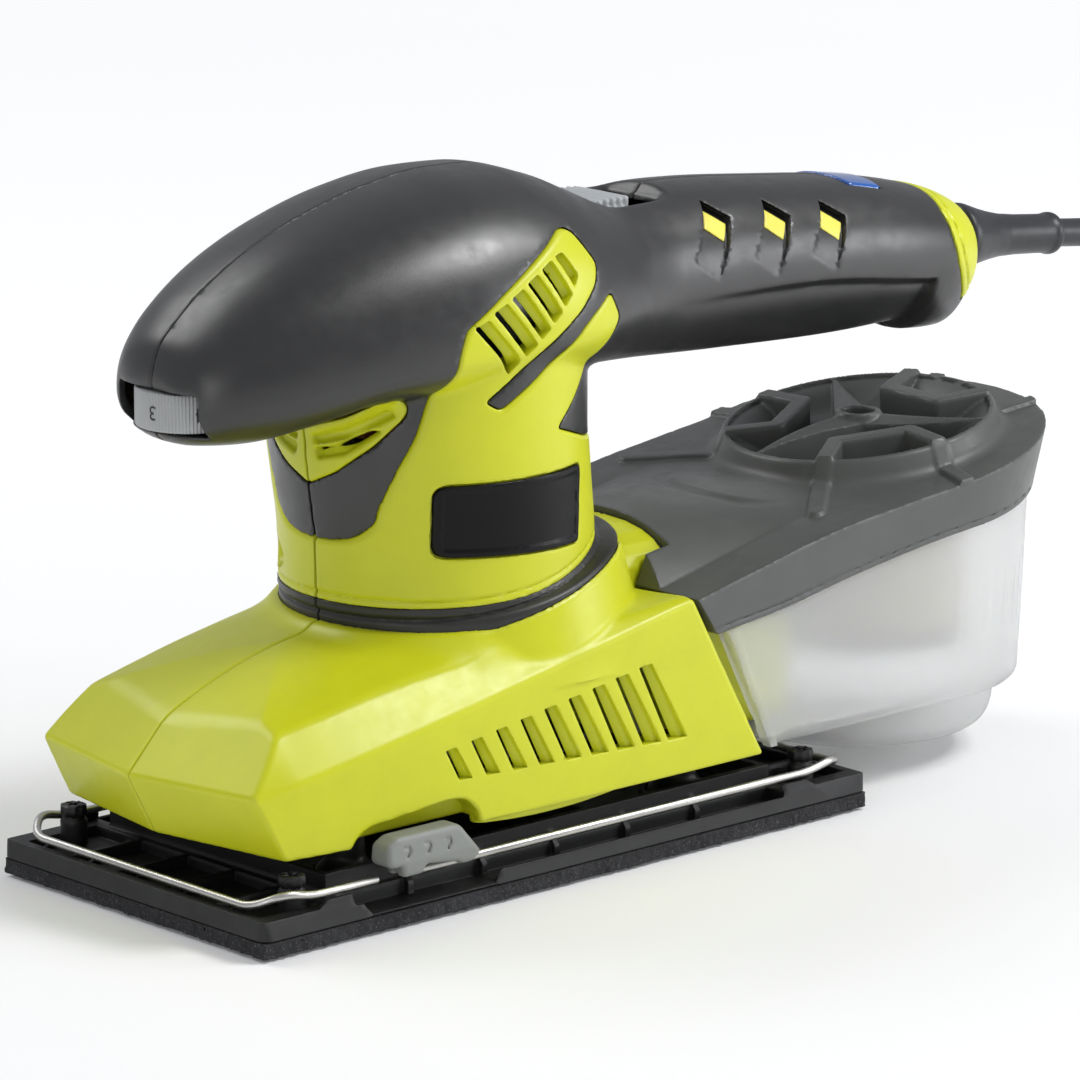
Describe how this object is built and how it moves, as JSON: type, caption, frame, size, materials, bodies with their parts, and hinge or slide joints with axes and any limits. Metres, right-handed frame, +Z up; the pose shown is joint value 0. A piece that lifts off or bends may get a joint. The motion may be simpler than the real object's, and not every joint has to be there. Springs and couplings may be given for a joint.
{
  "type": "orbital finishing sander",
  "caption": "Handle-type electric orbital finishing sander with a rectangular clamp-on pad, enclosed motor, rear handle and detachable dust box.",
  "frame": {"origin": "centre of the pad's flat underside, on the motor's axis", "axes": "-X towards the nose and +X towards the dust box and cord, +Y to the user's right side, +Z up from the pad to the handle"},
  "size_m": [0.3557, 0.0952, 0.1584],
  "materials": {
    "lime": "moulded, satin, lime green",
    "grip_grey": "soft-touch grip, fine texture, charcoal",
    "ring_rubber": "matte",
    "lid_grey": "fine texture, blue-grey",
    "black_moulding": "moulded, matte black",
    "foam": "open-cell foam, speckled",
    "lever_grey": "moulded, light grey",
    "steel": "bright",
    "bin_clear": "frosted clear plastic",
    "yellow_insert": "moulded, yellow",
    "blue_lens": "clear tinted lens",
    "white_plastic": "moulded, off-white",
    "copper": "enamelled copper wire and bars",
    "filter_paper": "pleated filter paper",
    "carbon": "pressed carbon"
  },
  "bodies": {
    "housing": {"bearing_bracket": "black_moulding", "cord_guard": "black_moulding", "dome_screw": "steel", "field_coil_front": "copper", "field_coil_rear": "copper", "field_core": "steel", "handle_end_collar": "lime", "handle_screw": "steel", "indicator_lens": "blue_lens", "left_base_housing": "lime", "left_brush_holder": "black_moulding", "left_carbon_brush": "carbon", "left_chin_guard": "lime", "left_grip_insert": "yellow_insert", "left_grip_shell": "grip_grey", "left_neck_housing": "lime", "left_neck_ring": "ring_rubber", "left_side_plate": "black_moulding", "lower_bearing": "steel", "neck_screw_front": "steel", "neck_screw_rear": "steel", "nose_screw": "steel", "power_cord": "black_moulding", "right_base_housing": "lime", "right_brush_holder": "black_moulding", "right_carbon_brush": "carbon", "right_chin_guard": "lime", "right_grip_insert": "yellow_insert", "right_grip_shell": "grip_grey", "right_neck_housing": "lime", "right_neck_ring": "ring_rubber", "right_side_plate": "black_moulding", "speed_controller": "black_moulding", "switch_body": "black_moulding", "upper_bearing": "steel"},
    "rotor": {"rotor_shaft": "steel", "armature_core": "steel", "armature_winding": "copper", "commutator": "copper", "fan": "black_moulding", "eccentric_counterweight": "steel"},
    "platen": {"platen_base": "black_moulding", "foam_pad": "foam", "support_leg_front_left": "ring_rubber", "support_leg_front_right": "ring_rubber", "support_leg_rear_left": "ring_rubber", "support_leg_rear_right": "ring_rubber", "platen_bearing": "steel", "platen_screw": "steel", "platen_washer": "steel"},
    "front_clamp": {"front_clamp_wire": "steel", "front_clamp_lever": "lever_grey"},
    "rear_clamp": {"rear_clamp_wire": "steel", "rear_clamp_lever": "lever_grey"},
    "dust_box": {"dust_bin": "bin_clear"},
    "box_lid": {"dust_lid": "lid_grey", "dust_filter": "filter_paper"},
    "switch": {"switch_slider": "white_plastic"},
    "dial": {"speed_dial": "white_plastic"}
  },
  "joints": [
    {"name": "rotor_spin", "type": "hinge", "parent": "housing", "child": "rotor", "pos_m": [0, 0, 0.07], "axis": [0, 0, 1], "continuous": true},
    {"name": "platen_orbit", "type": "hinge", "parent": "rotor", "child": "platen", "pos_m": [0.0012, 0, 0.016], "axis": [0, 0, 1], "continuous": true},
    {"name": "front_clamp_release", "type": "hinge", "parent": "platen", "child": "front_clamp", "pos_m": [-0.06, 0, 0.0115], "axis": [0, 1, 0], "range_deg": [0, 2.5]},
    {"name": "rear_clamp_release", "type": "hinge", "parent": "platen", "child": "rear_clamp", "pos_m": [0.06, 0, 0.0115], "axis": [0, -1, 0], "range_deg": [0, 2.5]},
    {"name": "box_slide", "type": "slide", "parent": "housing", "child": "dust_box", "axis": [1, 0, 0], "range_m": [0, 0.05]},
    {"name": "lid_lift", "type": "slide", "parent": "dust_box", "child": "box_lid", "axis": [0, 0, 1], "range_m": [0, 0.012]},
    {"name": "switch_slide", "type": "slide", "parent": "housing", "child": "switch", "axis": [1, 0, 0], "range_m": [0, 0.008]},
    {"name": "dial_turn", "type": "hinge", "parent": "housing", "child": "dial", "pos_m": [-0.0734, 0, 0.114], "axis": [0, 0, 1], "range_deg": [-135, 135]}
  ],
  "couplings": [
    {"joint": "platen_orbit", "follows": "rotor_spin", "ratio": -1}
  ]
}
